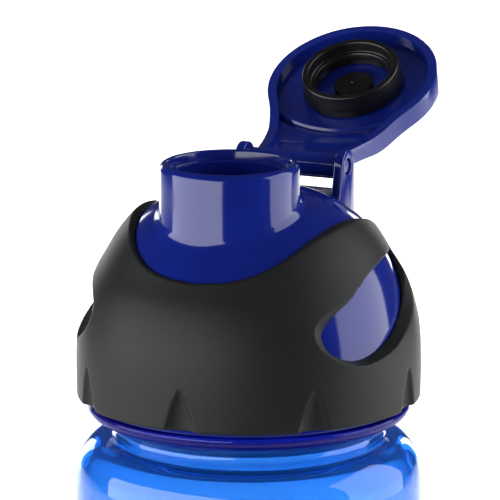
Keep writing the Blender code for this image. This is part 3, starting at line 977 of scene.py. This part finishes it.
@dataclass
class GripSleeve:
    """The rubber sleeve: scooped top edges, leaf-shaped side windows and flutes round its foot."""

    dome: Dome = field(default_factory=Dome)
    gap: float = 0.1
    scoop_radii: Pair = (6.0, 50.0)
    scoop_top: float = 60.0
    window_walls: tuple[Pair, ...] = ((26.0, 0.0), (33.0, 0.0), (36.0, 1.0), (43.0, 1.3))
    flutes: int = 8
    flute_skin: float = 36.7
    flute_width: float = 7.6
    flute_height: float = 9.4
    flute_depth: float = 1.7
    voxel: float = 0.4
    look: SparkTexturedRubber = field(default_factory=SparkTexturedRubber)

    def outside(self) -> Run:
        """Return the outer section from the top down to the lower edge."""
        run = smooth_run([(20.3, 42.2), (24.3, 39.4), (27.8, 35.2), (30.9, 30.0), (33.5, 25.6),
                          (35.3, 20.6), (36.4, 15.0), (36.7, 8.0), (36.6, 0.3)], 6)
        return run + [(36.3, 0.0)]

    def lining(self) -> Run:
        """Return the inner section from the lower edge up."""
        run = [p for p in offset_run(self.dome.section(), -self.gap) if p[0] > 17.0]
        return [(self.dome.skirt_radius + self.gap, 0.0)] + list(reversed(run))

    def edge(self, angle: float) -> float:
        """Return the top edge's height at an angle in degrees from the front."""
        turns = [(0, 30.4), (12, 30.8), (24, 32.1), (36, 34.4), (48, 36.9), (60, 38.5), (76, 39.5),
                 (92, 39.5), (104, 38.8), (114, 37.4), (128, 34.2), (144, 30.4), (160, 28.2),
                 (180, 27.6)]
        return between(abs(angle), smooth_run(turns, 6))

    def top_cutter(self) -> Piece:
        """Return the tool that scoops the top edge, a ring whose lower face follows the edge."""
        near, far = self.scoop_radii
        top = self.scoop_top
        angles = range(-180, 180, 3)
        loops = []
        for radius, level in ((near, None), (far, None), (far, top), (near, top)):
            loop = []
            for angle in angles:
                turn = math.radians(angle)
                height = self.edge(angle) if level is None else level
                loop.append((radius * math.sin(turn), -radius * math.cos(turn), CAP_DATUM + height))
            loops.append(loop)
        return lofted("top_cutter", loops)

    def window_cutter(self, side: int) -> Piece:
        """Return the tool that cuts a side window with its sloping wall.

        The outlines are (angle from the front, height) points, and each wall is (radius, share of the
        way from the inner outline to the outer one).

        Args:
            side: -1 for the -X side, 1 for the +X side.

        Returns:
            The tool, in object mode.
        """
        inner = [(50.3, 19.0), (55.5, 15.0), (64.0, 13.8), (76.0, 15.0), (88.0, 17.8), (101.0, 21.4),
                 (114.0, 26.4), (120.0, 31.0), (106.0, 31.8), (90.0, 31.4), (74.0, 29.4), (60.0, 25.2),
                 (52.5, 22.0)]
        outer = [(44.6, 22.0), (49.0, 17.0), (62.0, 13.0), (77.0, 14.0), (90.0, 17.0), (103.0, 20.2),
                 (116.0, 24.5), (124.0, 31.6), (108.0, 35.4), (90.0, 35.8), (72.0, 33.6), (57.0, 30.0),
                 (48.0, 26.2)]
        loops = []
        for radius, grow in self.window_walls:
            blend = [(a + (c - a) * grow, b + (d - b) * grow) for (a, b), (c, d) in zip(inner, outer)]
            loop = []
            for angle, height in smooth_run(blend, 6, closed=True):
                turn = math.radians(side * angle)
                loop.append((radius * math.sin(turn), -radius * math.cos(turn), CAP_DATUM + height))
            loops.append(loop)
        return lofted(f"window_{side}", loops)

    def flute_cutter(self, index: int) -> Piece:
        """Return the tool for one flute: a scoop that narrows upwards to a point."""
        edge = self.flute_skin
        sides = 8
        loops = []
        for share in (-0.12, 0.0, 0.2, 0.4, 0.6, 0.75, 0.88, 0.96, 1.0):
            left = max(1.0 - share, 0.0)
            half = self.flute_width / 2 * left ** 0.8 + 0.05
            depth = self.flute_depth * left ** 0.6
            height = CAP_DATUM + self.flute_height * share
            loop = [(half, -edge - 4.0, height), (-half, -edge - 4.0, height)]
            for i in range(sides + 1):
                x = half * (2 * i / sides - 1)
                skin = -math.sqrt(edge ** 2 - x ** 2)
                sink = depth * max(1.0 - (x / half) ** 2, 0.0) ** 0.7
                loop.append((x, skin + sink, height))
            loops.append(loop)
        scoop = lofted(f"flute_{index}", loops)
        scoop.data.transform(Matrix.Rotation(2 * math.pi * index / self.flutes, 4, "Z"))
        return scoop

    def build(self) -> None:
        """Build and dress the sleeve."""
        sleeve = spun("grip", self.outside() + self.lining(), 192, closed=True,
                      centre=(0, 0, CAP_DATUM))
        boolean(sleeve, self.top_cutter(), "DIFFERENCE")
        for side in (-1, 1):
            boolean(sleeve, self.window_cutter(side), "DIFFERENCE")
        for index in range(self.flutes):
            boolean(sleeve, self.flute_cutter(index), "DIFFERENCE")
        activate(sleeve)
        sleeve.data.remesh_voxel_size = self.voxel * MM
        bpy.ops.object.voxel_remesh()
        soften = sleeve.modifiers.new("Soften", "SMOOTH")
        soften.factor = 0.5
        soften.iterations = 3
        bpy.ops.object.modifier_apply(modifier=soften.name)
        bpy.ops.object.shade_smooth()
        hand_over(sleeve, self.look.build(), Body.CAP, "grip_sleeve")


# The lid


@dataclass
class Lid:
    """The keyhole lid with its rim, cranked arm, knuckle, plug ring and centre button."""

    reach: float = 35.3
    radius: float = 19.0
    floor: float = 7.2
    plate: float = 2.0
    rim_depth: float = 2.5
    rim_width: float = 2.0
    knuckle_radius: float = 2.5
    knuckle_half: float = 10.2
    eye_radius: float = 1.8
    ridge_height: float = 1.0
    ridge_radius: float = 24.0
    ridge_near: float = 16.4
    ridge_half: float = 37.0
    ridge_width: float = 1.3
    ridge_sink: float = 0.6
    plug_radius: float = 11.2
    plug_lip_radius: float = 10.7
    plug_height: float = 5.0
    plug_bore: float = 8.2
    button_radius: float = 4.3
    button_height: float = 0.9
    gap: float = 0.3
    arm_cuts: int = 42
    arm_step: float = 0.5
    look: MouldedPolypropylene = field(default_factory=lambda: MouldedPolypropylene(
        name="moulded_lid_polypropylene", colour="#12247e", drift="#0f1d6a"))
    seal: SatinElastomer = field(default_factory=SatinElastomer)

    def opening(self) -> Matrix:
        """Return the move from the shut lid's own frame to its open rest place."""
        hinge = joint("lid_hinge")
        swing = math.radians(hinge["range_deg"][0])
        place = Matrix.Translation(Vector(hinge["pos_m"]))
        return place @ Matrix.Rotation(swing, 4, "X")

    def outline(self) -> Run:
        """Return the keyhole outline as (x, y) with the hinge axis at y = 0."""
        disc = arc_run((0.0, -self.reach), self.radius, 25, -205, 110)
        left = smooth_run([disc[-1], (-15.0, -22.5), (-12.9, -16.4), (-11.3, -10.4),
                            (-10.1, -5.0), (-9.7, -1.0), (-9.7, 1.6)], 8)
        right = [(-x, y) for x, y in reversed(left)]
        return disc[:-1] + left + right[:-1]

    def crank(self, co: Vector) -> Vector:
        """Bend the arm from the disc's level down to the hinge axis."""
        run = -co.y / MM
        top = between(run, smooth_run([(0.0, 2.4), (5.0, 4.2), (10.5, 6.6), (15.0, 8.5),
                                       (18.5, 9.15), (23.0, 9.2)], 6))
        share = between(run, smooth_run([(0.0, 0.8), (8.0, 0.84), (16.0, 0.97), (20.0, 1.0)], 4))
        depth = (self.floor + self.plate) - co.z / MM
        return Vector((co.x, co.y, (top - depth * share) * MM))

    def shell(self) -> Piece:
        """Return the lid's plate and rim with the arm bent."""
        top = self.floor + self.plate
        plate = traced("lid", [(x, y, top) for x, y in self.outline()], closed=True)
        bpy.ops.mesh.edge_face_add()
        extrude((0.0, 0.0, -(self.plate + self.rim_depth)))
        bpy.ops.mesh.inset(thickness=self.rim_width * MM, use_even_offset=True)
        extrude((0.0, 0.0, self.rim_depth))
        finish_solid()
        bevel_sharp(plate, 0.4, 4, 50.0)
        activate(plate)
        bpy.ops.object.mode_set(mode="EDIT")
        for i in range(self.arm_cuts):
            place = (0.0, -self.arm_step * i * MM, 0.0)
            bpy.ops.mesh.select_all(action="SELECT")
            bpy.ops.mesh.bisect(plane_co=place, plane_no=(0.0, 1.0, 0.0))
        bpy.ops.object.mode_set(mode="OBJECT")
        move_points(plate, self.crank)
        return plate

    def ridge(self) -> Piece:
        """Return the low ring that closes the disc off from the arm."""
        outer = self.ridge_radius
        inner = outer - self.ridge_width
        low = self.floor - self.ridge_height
        top = self.floor + self.ridge_sink
        section = [(outer, top), (outer, low + 0.4), (outer - 0.4, low), (inner + 0.4, low),
                   (inner, low + 0.4), (inner, top)]
        middle = self.ridge_near - self.reach - outer
        places = [(0.0, middle + r, z) for r, z in section]
        piece = traced("ridge", places, closed=True)
        bpy.ops.transform.rotate(value=math.radians(-self.ridge_half), orient_axis="Z",
                                 center_override=(0.0, middle * MM, 0.0))
        bpy.ops.mesh.edge_face_add()
        bpy.ops.mesh.spin(steps=48, angle=math.radians(2 * self.ridge_half),
                          center=(0.0, middle * MM, 0.0), axis=(0.0, 0.0, 1.0))
        finish_solid()
        return piece

    def knuckle(self) -> Piece:
        """Return the bar that turns between the ears."""
        bar = rod_x("knuckle", self.knuckle_radius, -self.knuckle_half, self.knuckle_half, 0, 0, 0.0)
        eye = rod_x("lid_eye", self.eye_radius, -20, 20, 0, 0, 0.0, 48)
        boolean(bar, eye, "DIFFERENCE")
        bevel_sharp(bar, 0.25, 2, 50.0)
        return bar

    def plug(self) -> Piece:
        """Return the hollow plug ring with its lip and inner step."""
        top = self.floor - self.gap
        lip = top - self.plug_height
        outer = smooth_run([(self.plug_radius, top), (self.plug_radius, top - 1.6),
                            (self.plug_lip_radius + 0.15, lip + 1.0)], 4)
        outer += arc_run((self.plug_lip_radius - 0.35, lip + 0.4), 0.45, 10, -90, 6)
        inner = arc_run((self.plug_lip_radius - 0.85, lip + 0.4), 0.45, -90, -170, 6)
        step = self.plug_lip_radius - 1.5
        inner += [(step, lip + 2.2), (step - 0.15, lip + 2.35), (step - 0.7, lip + 2.4)]
        inner += [(step - 0.85, lip + 2.6), (self.plug_bore, top - 0.8), (self.plug_bore, top)]
        return spun("plug_ring", outer + inner, 128, closed=True, centre=(0, -self.reach, 0))

    def button(self) -> Piece:
        """Return the plug's round centre spot with its moulding nub."""
        top = self.floor - self.gap
        low = top - self.button_height
        section: Run = [(0.0, top), (self.button_radius, top)]
        section += arc_run((self.button_radius - 0.3, low + 0.3), 0.3, 0, -90, 4)
        section += [(1.2, low), (0.75, low - 0.1)]
        section += arc_run((0.0, low - 0.2), 0.55, 0, -90, 4)
        return spun("plug_spot", section, 96, closed=False, centre=(0, -self.reach, 0))

    def build(self) -> None:
        """Build, open and dress the lid and its plug."""
        lid = joined("lid", [self.shell(), self.ridge(), self.knuckle()])
        plug = self.plug()
        button = self.button()
        for piece in (lid, plug, button):
            piece.data.transform(self.opening())
            shade(piece)
        black = self.seal.build()
        hand_over(lid, self.look.build(), Body.LID, "flip_lid")
        hand_over(plug, black, Body.LID, "plug_seal")
        hand_over(button, black, Body.LID, "plug_button")


@dataclass
class SmallParts:
    """The hinge pin and the hidden sealing ring."""

    pin_radius: float = 1.5
    pin_half: float = 12.2
    pin_look: MouldedPolypropylene = field(default_factory=lambda: MouldedPolypropylene(
        name="moulded_pin_polymer", colour="#3d4f86", drift="#35457a", roughness=(0.176, 0.275)))
    ring_look: SatinElastomer = field(default_factory=lambda: SatinElastomer(
        name="moulded_ring_silicone", colour="#3a3b3d", drift="#47484a", roughness=(0.44, 0.6)))

    def build(self) -> None:
        """Build the pin and dress the sealing ring."""
        hinge = Vector(joint("lid_hinge")["pos_m"]) / MM
        pin = rod_x("pin", self.pin_radius, -self.pin_half, self.pin_half, hinge.y, hinge.z, 0.35)
        shade(pin)
        hand_over(pin, self.pin_look.build(), Body.CAP, "hinge_pin")
        ring = frame["nodes"]["cap_gasket"]
        ring.data.materials.clear()
        ring.data.materials.append(self.ring_look.build())
        LOG.info("cap_gasket keeps its own shape")


# The studio


def area_light(name: str, size: Pair, power: float, place: Vector, glossy: bool) -> Piece:
    """Add a rectangular area light that the camera doesn't see.

    Args:
        name: Name of the light.
        size: Its width and height in metres.
        power: Its power in watts.
        place: Where it stands.
        glossy: Whether it shows in reflections.

    Returns:
        The light, facing down.
    """
    lamp = bpy.data.lights.new(name, "AREA")
    lamp.shape = "RECTANGLE"
    lamp.size, lamp.size_y = size
    lamp.energy = power
    light = bpy.data.objects.new(name, lamp)
    bpy.context.scene.collection.objects.link(light)
    light.location = place
    light.visible_camera = False
    light.visible_glossy = glossy
    return light


@dataclass
class Softbox:
    """One area light that faces the bottle. Its sizes are in metres and its power in watts."""

    name: str
    bearing: float
    distance: float
    height: float
    width: float
    tall: float
    power: float
    aim_z: float = 0.2
    glossy: bool = True

    def build(self, front: float) -> None:
        """Add the light at a bearing in degrees to the left (negative) or right of the camera's.

        Args:
            front: The camera's own azimuth in degrees.
        """
        turn = math.radians(front + self.bearing)
        place = Vector((self.distance * math.sin(turn), -self.distance * math.cos(turn), self.height))
        light = area_light(self.name, (self.width, self.tall), self.power, place, self.glossy)
        aim = Vector((0.0, 0.0, self.aim_z)) - place
        light.rotation_euler = aim.to_track_quat("-Z", "Y").to_euler()


@dataclass
class Studio:
    """Camera, softboxes, world and paper floor. Its sizes are in metres."""

    azimuth: float = 23.0
    elevation: float = 12.7
    distance: float = 1.1
    lens: float = 373.8
    sensor: float = 36.0
    aim: tuple[float, float, float] = (0.00025, 0.0001, 0.2062)
    world_grey: float = 0.06
    backdrop: float = 0.95
    sweep_power: float = 13.0
    sweep_size: Pair = (1.4, 1.6)
    sweep_height: float = 1.2
    sweep_spread: float = 70.0
    behind: float = 1.1
    table_front: float = 0.22
    table_back: float = 8.0
    table_width: float = 16.0
    paper: StudioPaper = field(default_factory=StudioPaper)

    def camera(self) -> None:
        """Add the camera and make it the scene's."""
        az = math.radians(self.azimuth)
        el = math.radians(self.elevation)
        back = Vector((math.sin(az) * math.cos(el), -math.cos(az) * math.cos(el), math.sin(el)))
        data = bpy.data.cameras.new("camera")
        data.lens = self.lens
        data.sensor_width = self.sensor
        camera = bpy.data.objects.new("camera", data)
        bpy.context.scene.collection.objects.link(camera)
        camera.location = Vector(self.aim) + back * self.distance
        camera.rotation_euler = back.to_track_quat("Z", "Y").to_euler()
        bpy.context.scene.camera = camera

    def lights(self) -> Iterable[Softbox]:
        """Return the softboxes: bearing, distance, height, width, tallness and power of each."""
        return (
            Softbox("left_box", -58.0, 0.75, 0.24, 1.6, 0.56, 12.5),
            Softbox("right_box", 95.0, 0.85, 0.38, 0.9, 1.1, 9.0),
            Softbox("left_strip", -156.0, 0.9, 0.2, 0.2, 0.4, 1.0),
            Softbox("right_strip", 160.0, 0.9, 0.2, 0.1, 0.4, 0.7),
            Softbox("right_fill", 72.0, 0.9, 0.3, 0.6, 0.6, 5.0, glossy=False),
        )

    def sweep_light(self) -> None:
        """Light the floor behind the bottle from straight above, out of the mirror's way."""
        turn = math.radians(self.azimuth)
        place = Vector((-self.behind * math.sin(turn), self.behind * math.cos(turn),
                        self.sweep_height))
        light = area_light("sweep_light", self.sweep_size, self.sweep_power, place, False)
        light.data.spread = math.radians(self.sweep_spread)
        light.rotation_euler = (0.0, 0.0, turn)

    def floor(self) -> None:
        """Lay the pale table top, whose front edge is close to the bottle."""
        deselect()
        bpy.ops.mesh.primitive_plane_add(size=1.0, location=(0.0, 0.0, -0.0005))
        floor = bpy.context.active_object
        floor.name = "floor"
        depth = self.table_front + self.table_back
        floor.scale = (self.table_width, depth, 1.0)
        settle(floor)
        turn = math.radians(self.azimuth)
        middle = Vector((0.0, (self.table_back - self.table_front) / 2, 0.0))
        floor.data.transform(Matrix.Rotation(turn, 4, "Z") @ Matrix.Translation(middle))
        floor.data.materials.append(self.paper.build())

    def build(self) -> None:
        """Build the studio."""
        self.camera()
        for box in self.lights():
            box.build(self.azimuth)
        self.sweep_light()
        self.floor()
        self.air()

    def air(self) -> None:
        """Make the room dark to reflections and pale behind the object."""
        world = bpy.data.worlds.new("studio_air")
        bpy.context.scene.world = world
        world.use_nodes = True
        tree = world.node_tree
        path = add_node(tree, "ShaderNodeLightPath")
        strength = add_node(tree, "ShaderNodeMapRange", {
            "Value": path.outputs["Is Camera Ray"], "To Min": self.world_grey,
            "To Max": self.backdrop
        })
        feed(tree, tree.nodes["Background"], {"Color": (1.0, 1.0, 1.0, 1.0),
                                              "Strength": strength.outputs[0]})
        bpy.context.scene.view_settings.view_transform = "Standard"


def main() -> None:
    """Build the bottle and its studio, piece by piece."""
    logging.basicConfig(level=logging.INFO, format="%(relativeCreated)d %(name)s: %(message)s")
    Studio().build()
    Bottle().build()
    Cap().build()
    GripSleeve().build()
    Lid().build()
    SmallParts().build()


if __name__ == "__main__":
    main()
